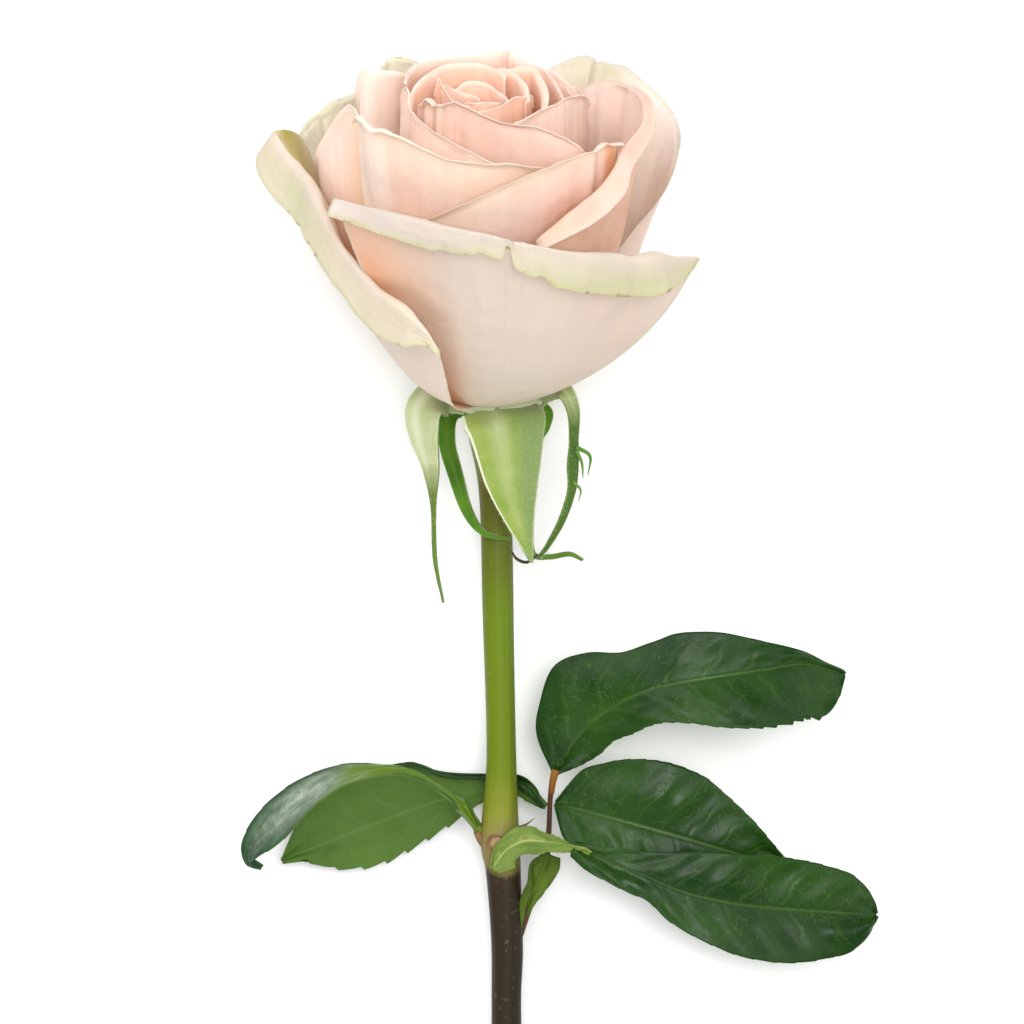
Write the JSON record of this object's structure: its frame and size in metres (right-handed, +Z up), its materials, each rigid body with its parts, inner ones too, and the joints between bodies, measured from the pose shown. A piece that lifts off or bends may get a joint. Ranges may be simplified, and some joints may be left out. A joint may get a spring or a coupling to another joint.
{
  "type": "cut rose",
  "caption": "Cut rose laid on its side: a full, creamy pink bloom with layered petals, reflexed green sepals, a leafy stem with serrated leaflets and a slanted cut end.",
  "frame": {"origin": "on the surface the rose lies on, below the middle of its bounding box", "axes": "+Z up from that surface; +Y along the stem, from the cut end towards the bloom; +X to the right of someone who looks down on the rose with the bloom at the top"},
  "size_m": [0.1412, 0.2482, 0.0856],
  "materials": {
    "petal": "soft satin, translucent at the rims",
    "stem": "smooth, slightly waxy",
    "sepal": "matte, finely woolly",
    "leaf": "glossy above, matte below"
  },
  "bodies": {
    "root": {"stem": "stem", "heart_petals": "petal", "petal_front": "petal", "petal_left": "petal", "petal_right": "petal", "petal_back_left": "petal", "petal_back": "petal", "petal_second_front": "petal", "petal_second_right": "petal", "petal_second_back_left": "petal", "petal_second_back": "petal", "sepal_left": "sepal", "sepal_back_left": "sepal", "sepal_front": "sepal", "sepal_right": "sepal", "sepal_back_right": "sepal", "leaf_left": "leaf", "leaf_lower_right": "leaf", "leaf_compound": "leaf"}
  },
  "joints": []
}
